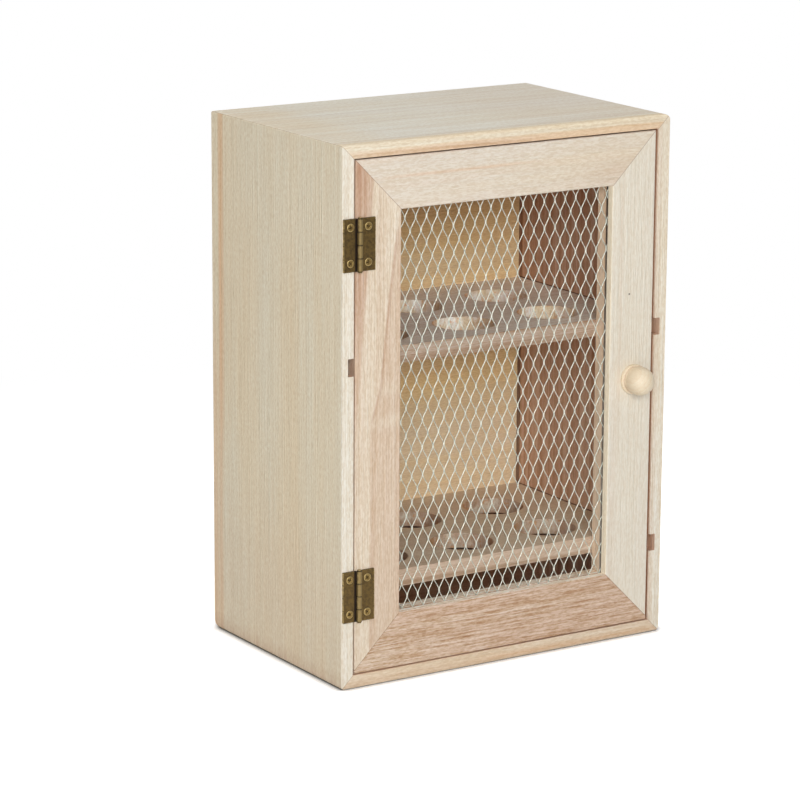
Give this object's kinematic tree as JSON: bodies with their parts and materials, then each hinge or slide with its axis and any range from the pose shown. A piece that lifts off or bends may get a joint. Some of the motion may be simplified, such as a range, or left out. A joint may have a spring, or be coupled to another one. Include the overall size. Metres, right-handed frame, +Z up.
{
  "type": "egg cabinet",
  "caption": "Small upright wooden cabinet for eggs, with pierced shelves behind a framed wire-mesh door on butt hinges and a turned knob.",
  "frame": {"origin": "middle of the underside of the bottom board, on the surface the cabinet stands on", "axes": "+X to the right seen from the front, +Y to the back, +Z up"},
  "size_m": [0.2, 0.1444, 0.28],
  "materials": {
    "carcass_wood": "bare sanded softwood, fine straight grain",
    "panel_wood": "bare thin plywood",
    "shelf_wood": "bare sanded wood with fuzzy bored edges",
    "door_wood": "bare sanded wood, pinkish grain on the rails and stiles",
    "knob_wood": "bare turned wood",
    "mesh_steel": "galvanised wire, dull to bright",
    "hinge_brass": "aged brass, darkened in the recesses",
    "screw_brass": "aged brass, paler than the leaves",
    "catch_steel": "plated steel",
    "staple_steel": "galvanised wire"
  },
  "bodies": {
    "cabinet": {"back_panel": "panel_wood", "back_staples": "staple_steel", "bottom_board": "carcass_wood", "cabinet_hinge_screws": "screw_brass", "catch_magnet": "catch_steel", "left_side": "carcass_wood", "lower_hinge_cabinet_leaf": "hinge_brass", "lower_hinge_pin": "hinge_brass", "lower_shelf": "shelf_wood", "right_side": "carcass_wood", "top_board": "carcass_wood", "upper_hinge_cabinet_leaf": "hinge_brass", "upper_hinge_pin": "hinge_brass", "upper_shelf": "shelf_wood"},
    "door": {"catch_strike": "catch_steel", "door_bottom_rail": "door_wood", "door_hinge_screws": "screw_brass", "door_hinge_stile": "door_wood", "door_knob_stile": "door_wood", "door_top_rail": "door_wood", "knob": "knob_wood", "knob_screw": "catch_steel", "lower_hinge_door_leaf": "hinge_brass", "upper_hinge_door_leaf": "hinge_brass", "wire_mesh": "mesh_steel"}
  },
  "joints": [
    {"name": "door_hinge", "type": "hinge", "parent": "cabinet", "child": "door", "pos_m": [-0.0902, -0.06645, 0.1399], "axis": [0, 0, -1], "range_deg": [0, 175]}
  ]
}
